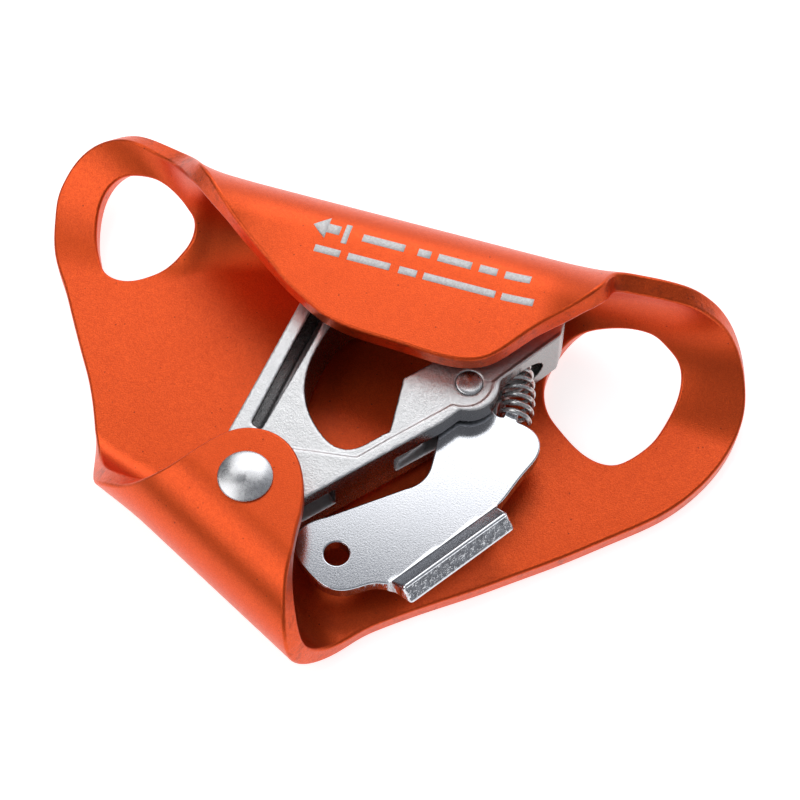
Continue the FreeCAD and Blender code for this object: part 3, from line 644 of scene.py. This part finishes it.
PIN_RADIUS = 2.3
PIN_FOOT = 5.0
PIN_TOP = 16.8
pin_foot = [(0, PIN_FOOT), (1.6, PIN_FOOT), (2.15, PIN_FOOT + 0.02)]
pin_side = [(PIN_RADIUS, z) for z in (5.15, 6.0, 15.5, 16.55)]
pin_crown = [
    (2.27, 16.66), (2.18, 16.75), (2.05, PIN_TOP), (1.5, PIN_TOP), (0.8, PIN_TOP - 0.02),
    (0, PIN_TOP - 0.03),
]
pin = turned("pin_end", PIN, pin_foot + pin_side + pin_crown, 64)
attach(pin, "cam")
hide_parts("catch_pin")

# A direction that no wire starts along. A wire's end is a dome of three rings, from its tip inwards.
ASKEW = [0.31, 0.17, 0.93]
DOME_RINGS = (0.25, 0.6, 0.9)
DOME_FLATNESS = 0.6


def wire_end(point, outward, section, radius):
    """Rings of a wire's domed end, from its tip: middle, section and radius of each."""
    rings = []
    for share in DOME_RINGS:
        out = math.sqrt(1 - share**2)
        rings.append((point + outward * radius * out * DOME_FLATNESS, section, radius * share))
    return rings


def wire(name, path, radius, count=14):
    """A closed round wire along a path, with domed ends."""
    points = np.array(path, float)
    along = np.gradient(points, axis=0)
    along /= np.linalg.norm(along, axis=1)[:, None]
    side = np.cross(along[0], ASKEW)
    side /= np.linalg.norm(side)
    sections = []
    for direction in along:
        side = side - direction * (side @ direction)
        side /= np.linalg.norm(side)
        sections.append((side.copy(), np.cross(direction, side)))
    rows = wire_end(points[0], -along[0], sections[0], radius)
    for point, section in zip(points, sections):
        rows.append((point, section, radius))
    rows += wire_end(points[-1], along[-1], sections[-1], radius)[::-1]
    vertices = []
    for point, (first, second), size in rows:
        for k in range(count):
            angle = 2 * math.pi * k / count
            vertices.append(point + size * (math.cos(angle) * first + math.sin(angle) * second))
    faces = []
    for row in range(len(rows) - 1):
        low = row * count
        for k, ahead in loop_edges(count):
            faces.append((low + k, low + ahead, low + count + ahead, low + count + k))
    faces.append(tuple(range(count))[::-1])
    last = (len(rows) - 1) * count
    faces.append(tuple(range(last, last + count)))
    return finish_mesh(name, vertices, faces)


# The catch spring leans more towards its far end, which sits in the cam.
SPRING_FOOT = np.array([20.3, 0.9, 10.2])
SPRING_LEAN = -0.30
LEAN_AT_FOOT = 0.1
LEAN_GROWTH = 1.7
SPRING_LENGTH = 10.6
SPRING_TURNS = 6.4
SPRING_RADIUS = 2.6
SPRING_WIRE = 0.46
spring_path = []
for share in np.linspace(0, 1, 400):
    angle = 2 * math.pi * SPRING_TURNS * share
    lean = SPRING_LEAN * (LEAN_AT_FOOT + LEAN_GROWTH * share)
    toward = SPRING_LEAN * (LEAN_AT_FOOT + LEAN_GROWTH / 2 * share)
    middle = SPRING_FOOT + SPRING_LENGTH * share * np.array([math.sin(toward), math.cos(toward), 0])
    across = np.array([math.cos(lean), -math.sin(lean), 0])
    spring_path.append(middle + SPRING_RADIUS * (math.cos(angle) * across + math.sin(angle) * UP))
spring = wire("catch_coil", spring_path, SPRING_WIRE)
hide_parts("catch_spring")
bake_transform(spring)

COIL_FOOT = np.array([PIVOT[0], PIVOT[1], 8.8])
COIL_RADIUS = 4.3
COIL_RISE = 3.4
COIL_FROM = FOLD_ANGLE - math.pi / 2
COIL_TURN = 2 * math.pi * 2.399
COIL_WIRE = 0.55
# How far out from the coil both legs start, and how far out the legs on the frame and on the cam run.
LEG_START = 0.6
FRAME_LEG = 5.0
CAM_LEG = 7.9


def outward(angle):
    """The direction away from the rivet at an angle."""
    return np.array([math.cos(angle), math.sin(angle), 0])


coil_path = []
for share in np.linspace(0, 1, 220):
    out = COIL_RADIUS * outward(COIL_FROM + COIL_TURN * share)
    coil_path.append(COIL_FOOT + out + COIL_RISE * share * UP)
frame_out = outward(COIL_FROM)
cam_out = outward(COIL_FROM + COIL_TURN)
frame_leg = [coil_path[0] + frame_out * d for d in np.linspace(FRAME_LEG, LEG_START, 10)]
cam_leg = [coil_path[-1] + cam_out * d for d in np.linspace(LEG_START, CAM_LEG, 12)]
torsion = wire("cam_coil", frame_leg + coil_path + cam_leg, COIL_WIRE)
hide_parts("cam_spring")
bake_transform(torsion)

# ---------------------------------------------------------------- cam: the casting, with soft edges

# In metres: points of the CAD mesh that are one, and the grid that the softened copy is made on.
WELD_DISTANCE = 0.00001
VOXEL_SIZE = 0.00022
SOFTEN_SHARE = 0.5
SOFTEN_ROUNDS = 5
cam = frame["nodes"]["cam"]
casting = cam.copy()
casting.data = cam.data.copy()
casting.name = "cam_casting"
casting.data.name = "cam_casting"
bpy.context.collection.objects.link(casting)
weld = casting.modifiers.new("weld", "WELD")
weld.merge_threshold = WELD_DISTANCE
shell = casting.modifiers.new("shell", "REMESH")
shell.mode = "VOXEL"
shell.voxel_size = VOXEL_SIZE
soften = casting.modifiers.new("soften", "SMOOTH")
soften.factor = SOFTEN_SHARE
soften.iterations = SOFTEN_ROUNDS
evaluated = casting.evaluated_get(bpy.context.evaluated_depsgraph_get())
solid = bpy.data.meshes.new_from_object(evaluated)
casting.modifiers.clear()
casting.data = solid
solid.name = "cam_casting"
solid.polygons.foreach_set("use_smooth", [True] * len(solid.polygons))
casting.parent = None
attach(casting, "cam")
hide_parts("cam")

# ---------------------------------------------------------------- marks on the lip

# How far the print stands out of the lip and reaches into it, and how far apart its grid points are.
PRINT_OUT = 0.03
PRINT_IN = 0.05
PRINT_SPACING = 0.8


def mark_sheet(name, loops):
    """Thin printed shapes on the lip, from convex loops on the blank."""
    vertices = []
    faces = []
    for loop in loops:
        loop = loop if turn_area(loop) > 0 else loop[::-1]
        grid = fill_grid([loop], PRINT_SPACING)
        flat = np.vstack([loop, grid]) if len(grid) else loop
        edges = loop_edges(len(loop))
        middle, up = frame_mapping(flat)
        outer = len(vertices)
        inner = outer + len(flat)
        vertices.extend(middle - up * (HALF + PRINT_OUT))
        vertices.extend(middle - up * (HALF - PRINT_IN))
        for a, b, c in triangles_between(flat, edges, 1):
            faces.append((outer + c, outer + b, outer + a))
            faces.append((inner + a, inner + b, inner + c))
        for i, ahead in edges:
            faces.append((outer + i, outer + ahead, inner + ahead, inner + i))
    return finish_mesh(name, vertices, faces)


def polygon(*corners):
    """A closed loop of straight runs."""
    return join(*(line(a, b) for a, b in zip(corners, corners[1:] + corners[:1])))


def rectangle(x0, y0, x1, y1):
    """A closed loop round a box."""
    return polygon((x0, y0), (x1, y0), (x1, y1), (x0, y1))


# Each row of dashes: its lower and upper Y, and where each dash starts and ends along X.
DASH_ROWS = [
    (48.0, 49.3, ((-13.2, -5.6), (-3.2, -0.9), (0.4, 6.4), (7.8, 11.0), (12.4, 17.2))),
    (52.1, 53.5, ((-20.6, -16.0), (-14.6, -7.0), (-5.4, -2.2), (-1.0, 11.8), (13.0, 18.9))),
]
arrow_head = polygon((-22.2, 48.5), (-19.6, 46.5), (-19.6, 50.5))
arrow_shaft = rectangle(-19.65, 47.7, -17.3, 49.3)
dashes = [rectangle(-16.6, 47.0, -15.6, 50.6)]
for low, high, spans in DASH_ROWS:
    for start, end in spans:
        dashes.append(rectangle(start, low, end, high))
marks = mark_sheet("lip_marks", [arrow_head, arrow_shaft] + dashes)
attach(marks, "frame")

# ---------------------------------------------------------------- materials


def new_material(name):
    """A material with one shader: the material, its node tree and the shader."""
    material = bpy.data.materials.new(name)
    material.use_nodes = True
    tree = material.node_tree
    tree.nodes.clear()
    output = tree.nodes.new("ShaderNodeOutputMaterial")
    shader = tree.nodes.new("ShaderNodeBsdfPrincipled")
    tree.links.new(shader.outputs["BSDF"], output.inputs["Surface"])
    return material, tree, shader


class Nodes:
    """Short names for the nodes that the materials share."""

    def __init__(self, tree):
        self.tree = tree
        self.place = tree.nodes.new("ShaderNodeTexCoord").outputs["Object"]

    def noise(self, scale, detail=3.0, roughness=0.5, vector=None):
        """Cloudy noise; scale is in features per metre."""
        node = self.tree.nodes.new("ShaderNodeTexNoise")
        node.inputs["Scale"].default_value = scale
        node.inputs["Detail"].default_value = detail
        node.inputs["Roughness"].default_value = roughness
        self.tree.links.new(vector or self.place, node.inputs["Vector"])
        return node.outputs["Fac"]

    def cells(self, scale):
        """Distance to the nearest of many scattered points."""
        node = self.tree.nodes.new("ShaderNodeTexVoronoi")
        node.inputs["Scale"].default_value = scale
        self.tree.links.new(self.place, node.inputs["Vector"])
        return node.outputs["Distance"]

    def span(self, value, low, high, to_low=0.0, to_high=1.0):
        """Value from low to high mapped to the other two, and held there outside."""
        node = self.tree.nodes.new("ShaderNodeMapRange")
        node.inputs["From Min"].default_value = low
        node.inputs["From Max"].default_value = high
        node.inputs["To Min"].default_value = to_low
        node.inputs["To Max"].default_value = to_high
        self.tree.links.new(value, node.inputs["Value"])
        return node.outputs["Result"]

    def math(self, operation, first, second):
        """One operation on sockets or numbers."""
        node = self.tree.nodes.new("ShaderNodeMath")
        node.operation = operation
        for socket, value in zip(node.inputs, (first, second)):
            if isinstance(value, (int, float)):
                socket.default_value = value
            else:
                self.tree.links.new(value, socket)
        return node.outputs["Value"]

    def mix(self, share, first, second):
        """A colour between two, each a socket or a tuple."""
        node = self.tree.nodes.new("ShaderNodeMix")
        node.data_type = "RGBA"
        self.tree.links.new(share, node.inputs["Factor"])
        for socket, value in ((node.inputs[6], first), (node.inputs[7], second)):
            if isinstance(value, tuple):
                socket.default_value = (*value, 1)
            else:
                self.tree.links.new(value, socket)
        return node.outputs[2]

    def bump(self, height, strength, distance, below=None):
        """A normal roughened by a height, on top of another where one is given."""
        node = self.tree.nodes.new("ShaderNodeBump")
        node.inputs["Strength"].default_value = strength
        node.inputs["Distance"].default_value = distance
        self.tree.links.new(height, node.inputs["Height"])
        if below is not None:
            self.tree.links.new(below, node.inputs["Normal"])
        return node.outputs["Normal"]

    def attribute(self, name):
        """A value that a mesh holds for each of its points."""
        node = self.tree.nodes.new("ShaderNodeAttribute")
        node.attribute_name = name
        return node.outputs["Fac"]

    def level(self):
        """How squarely a surface faces up or down."""
        node = self.tree.nodes.new("ShaderNodeTexCoord")
        parts = self.tree.nodes.new("ShaderNodeSeparateXYZ")
        self.tree.links.new(node.outputs["Normal"], parts.inputs["Vector"])
        return self.math("ABSOLUTE", parts.outputs["Z"], 0.0)

    def stretched(self, scale):
        """The piece's own coordinates, scaled by axis."""
        node = self.tree.nodes.new("ShaderNodeMapping")
        node.inputs["Scale"].default_value = scale
        self.tree.links.new(self.place, node.inputs["Vector"])
        return node.outputs["Vector"]


def anodised_orange():
    """Satin orange with fine grain, a few dark specks, and edges worn darker."""
    material, tree, shader = new_material("anodised_orange")
    n = Nodes(tree)
    edge = n.attribute("edge_share")
    patches = n.span(n.noise(45, 4, 0.6), 0.3, 0.7)
    grain = n.noise(4600, 2, 0.6)
    cloud = n.noise(1500, 3, 0.6)
    colour = n.mix(patches, (0.78, 0.094, 0.015), (0.84, 0.107, 0.019))
    colour = n.mix(n.span(grain, 0.40, 0.62, 0.0, 0.5), colour, (0.58, 0.050, 0.007))
    colour = n.mix(n.span(cloud, 0.42, 0.60, 0.0, 0.16), colour, (0.62, 0.056, 0.008))
    specks = n.span(n.cells(620), 0.05, 0.12, 0.8, 0.0)
    rare = n.span(n.noise(230, 2), 0.50, 0.56)
    colour = n.mix(n.math("MULTIPLY", specks, rare), colour, (0.20, 0.020, 0.008))
    worn = n.span(n.noise(420, 4, 0.7), 0.52, 0.66)
    wear = n.math("MULTIPLY", worn, n.span(edge, 0.35, 1.0, 0.0, 0.55))
    colour = n.mix(wear, colour, (0.34, 0.045, 0.015))
    tree.links.new(colour, shader.inputs["Base Color"])
    shader.inputs["Metallic"].default_value = 0.92
    tree.links.new(n.span(cloud, 0.3, 0.7, 0.34, 0.42), shader.inputs["Roughness"])
    shader.inputs["Coat Weight"].default_value = 0.18
    shader.inputs["Coat Roughness"].default_value = 0.3
    bump = n.bump(grain, 0.45, 0.0001)
    rough_edge = n.math("MULTIPLY", n.noise(700, 4, 0.7), edge)
    tree.links.new(n.bump(rough_edge, 0.5, 0.0003, bump), shader.inputs["Normal"])
    return material


def cast_metal():
    """A blasted casting, smoother on its upright sides; those sides get a painted dark reflection in their
    colour.
    """
    material, tree, shader = new_material("blasted_casting")
    n = Nodes(tree)
    grain = n.noise(2900, 3, 0.65)
    coarse = n.noise(600, 3, 0.55)
    level = n.level()
    tone = n.span(coarse, 0.35, 0.65)
    colour = n.mix(tone, (0.68, 0.68, 0.68), (0.76, 0.76, 0.76))
    # Painted dark reflection: the more upright a face, the darker its colour.
    colour = n.mix(n.span(level, 0.35, 0.85, 0.85, 0.0), colour, (0.30, 0.29, 0.29))
    tree.links.new(colour, shader.inputs["Base Color"])
    shader.inputs["Metallic"].default_value = 1.0
    blasted = n.span(grain, 0.35, 0.65, 0.32, 0.46)
    roughness = n.math("MULTIPLY", blasted, n.span(level, 0.2, 0.8, 0.7, 1.0))
    tree.links.new(roughness, shader.inputs["Roughness"])
    pits = n.math("MULTIPLY", grain, n.span(level, 0.3, 0.9, 0.25, 1.0))
    bump = n.bump(coarse, 0.08, 0.0002)
    tree.links.new(n.bump(pits, 0.5, 0.00015, bump), shader.inputs["Normal"])
    return material


def plated_steel():
    """Bright plating with grain; the cut edges are stained and torn."""
    material, tree, shader = new_material("plated_steel")
    n = Nodes(tree)
    edge = n.attribute("edge_share")
    grain = n.noise(3600, 2, 0.7)
    patches = n.span(n.noise(60, 3), 0.35, 0.65)
    colour = n.mix(patches, (0.77, 0.79, 0.83), (0.82, 0.83, 0.86))
    colour = n.mix(n.span(grain, 0.35, 0.6, 0.35, 0.0), colour, (0.55, 0.56, 0.60))
    streaks = n.noise(1.0, 3, 0.6, n.stretched((1100, 1100, 160)))
    stained = n.math("MULTIPLY", n.span(edge, 0.9, 1.0), n.span(streaks, 0.4, 0.6, 0.0, 0.7))
    colour = n.mix(stained, colour, (0.36, 0.36, 0.38))
    tree.links.new(colour, shader.inputs["Base Color"])
    shader.inputs["Metallic"].default_value = 1.0
    tree.links.new(n.span(grain, 0.3, 0.7, 0.10, 0.17), shader.inputs["Roughness"])
    bump = n.bump(grain, 0.07, 0.0001)
    torn = n.math("MULTIPLY", streaks, n.span(edge, 0.96, 1.0))
    tree.links.new(n.bump(torn, 0.8, 0.0004, bump), shader.inputs["Normal"])
    return material


def satin_steel():
    """Satin steel turned on a lathe, with its grain round Z."""
    material, tree, shader = new_material("satin_steel")
    n = Nodes(tree)
    fine = n.noise(1500, 3, 0.6)
    tree.links.new(
        n.mix(n.span(fine, 0.35, 0.65), (0.60, 0.60, 0.61), (0.72, 0.72, 0.73)),
        shader.inputs["Base Color"],
    )
    shader.inputs["Metallic"].default_value = 1.0
    shader.inputs["Anisotropic"].default_value = 0.75
    turned_way = tree.nodes.new("ShaderNodeTangent")
    turned_way.direction_type = "RADIAL"
    turned_way.axis = "Z"
    tree.links.new(turned_way.outputs["Tangent"], shader.inputs["Tangent"])
    tree.links.new(n.span(fine, 0.3, 0.7, 0.24, 0.32), shader.inputs["Roughness"])
    tree.links.new(n.bump(fine, 0.08, 0.0001), shader.inputs["Normal"])
    return material


def spring_wire():
    """Drawn wire."""
    material, tree, shader = new_material("spring_wire")
    n = Nodes(tree)
    drawn = n.noise(1200, 3, 0.6)
    tree.links.new(
        n.mix(n.span(drawn, 0.35, 0.65), (0.56, 0.56, 0.56), (0.74, 0.74, 0.73)),
        shader.inputs["Base Color"],
    )
    shader.inputs["Metallic"].default_value = 1.0
    tree.links.new(n.span(drawn, 0.3, 0.7, 0.22, 0.34), shader.inputs["Roughness"])
    tree.links.new(n.bump(drawn, 0.1, 0.0001), shader.inputs["Normal"])
    return material


def white_print():
    """Matt print, a little uneven."""
    material, tree, shader = new_material("white_print")
    n = Nodes(tree)
    tree.links.new(
        n.mix(n.span(n.noise(2400, 2), 0.4, 0.6), (0.78, 0.74, 0.72), (0.90, 0.88, 0.87)),
        shader.inputs["Base Color"],
    )
    shader.inputs["Roughness"].default_value = 0.6
    return material


def dress(piece, material):
    """Gives a piece one material."""
    piece.data.materials.clear()
    piece.data.materials.append(material)


dress(plate, anodised_orange())
dress(casting, cast_metal())
dress(catch, plated_steel())
satin = satin_steel()
dress(rivet, satin)
dress(pin, satin)
steel_wire = spring_wire()
dress(spring, steel_wire)
dress(torsion, steel_wire)
dress(marks, white_print())

# ---------------------------------------------------------------- floor, light and camera

# In metres, as is the rest of this section.
FLOOR_HALF = 4
FLOOR_GAP = 0.0002
floor_corners = [(x * FLOOR_HALF, y * FLOOR_HALF, 0) for x, y in ((-1, -1), (1, -1), (1, 1), (-1, 1))]
floor_mesh = bpy.data.meshes.new("floor")
floor_mesh.from_pydata(floor_corners, [], [(0, 1, 2, 3)])
floor = bpy.data.objects.new("floor", floor_mesh)
floor.location.z = cad_box[0].z - FLOOR_GAP
bpy.context.collection.objects.link(floor)
floor_material, _, floor_shader = new_material("floor_white")
floor_shader.inputs["Base Color"].default_value = (0.72, 0.72, 0.72, 1)
floor_shader.inputs["Roughness"].default_value = 0.9
floor_shader.inputs["Specular IOR Level"].default_value = 0.1
floor_shader.inputs["Emission Color"].default_value = (1, 1, 1, 1)
floor_shader.inputs["Emission Strength"].default_value = 0.75
dress(floor, floor_material)

TARGET_HEIGHT = 0.008
TARGET = Vector((SHIFT[0] / 1000, SHIFT[1] / 1000, TARGET_HEIGHT))


def softbox(name, corner, across, up, radiance):
    """A rectangular light from one corner and its two sides, lit on the side that faces the piece."""
    corner, across, up = (Vector(v) for v in (corner, across, up))
    data = bpy.data.lights.new(name, "AREA")
    data.shape = "RECTANGLE"
    data.size = across.length
    data.size_y = up.length
    data.energy = radiance * math.pi * across.length * up.length
    light = bpy.data.objects.new(name, data)
    centre = corner + across / 2 + up / 2
    x = across.normalized()
    y = (up - x * up.dot(x)).normalized()
    z = x.cross(y)
    if z.dot(TARGET - centre) > 0:
        x = -x
        z = -z
    turn = Matrix((x, y, z)).transposed()
    light.matrix_world = Matrix.Translation(centre) @ turn.to_4x4()
    bpy.context.collection.objects.link(light)


softbox("key", (-0.45, 0.235, 0.646), (0.62, 0.075, 0.0), (-0.02, 0.42, -0.30), 1.5)
softbox("key_skirt", (-0.45, 0.198, 0.655), (0.60, 0.0726, 0.0), (0.0, 0.036, -0.009), 0.8)
softbox("front_left", (-0.12, 0.05, 0.62), (-0.55, -0.03, -0.08), (-0.04, -0.60, -0.16), 1.75)

world = bpy.data.worlds.new("studio")
bpy.context.scene.world = world
world.use_nodes = True
sky = world.node_tree
way = sky.nodes.new("ShaderNodeTexCoord").outputs["Generated"]
parts = sky.nodes.new("ShaderNodeSeparateXYZ")
sky.links.new(way, parts.inputs["Vector"])


def sky_share(axis, low, high, to_low, to_high):
    """How bright the surroundings are along one axis."""
    node = sky.nodes.new("ShaderNodeMapRange")
    node.interpolation_type = "SMOOTHSTEP"
    for socket, value in zip(list(node.inputs)[1:5], (low, high, to_low, to_high)):
        socket.default_value = value
    sky.links.new(parts.outputs[axis], node.inputs["Value"])
    return node.outputs["Result"]


sky_light = sky.nodes.new("ShaderNodeMath")
sky_light.operation = "MULTIPLY"
sky.links.new(sky_share("X", -0.6, -0.15, 0.35, 1.0), sky_light.inputs[0])
sky.links.new(sky_share("Y", 0.35, 0.8, 0.28, 0.9), sky_light.inputs[1])
backdrop = sky.nodes["Background"]
backdrop.inputs["Color"].default_value = (0.90, 0.93, 1.0, 1)
sky.links.new(sky_light.outputs["Value"], backdrop.inputs["Strength"])

# The camera's direction from the piece, its distance in metres and its focal length in mm.
AZIMUTH = math.radians(16.8)
ELEVATION = math.radians(63.0)
DISTANCE = 0.405
FOCAL_LENGTH = 104.85
level = math.cos(ELEVATION)
back = Vector((math.sin(AZIMUTH) * level, -math.cos(AZIMUTH) * level, math.sin(ELEVATION)))
lens = bpy.data.cameras.new("camera")
lens.sensor_width = 36
lens.lens = FOCAL_LENGTH
lens.clip_start = 0.01
lens.clip_end = 20
camera = bpy.data.objects.new("camera", lens)
camera.location = TARGET + back * DISTANCE
camera.rotation_mode = "QUATERNION"
camera.rotation_quaternion = (-back).to_track_quat("-Z", "Y")
bpy.context.collection.objects.link(camera)
bpy.context.scene.camera = camera
bpy.context.scene.view_settings.view_transform = "Standard"
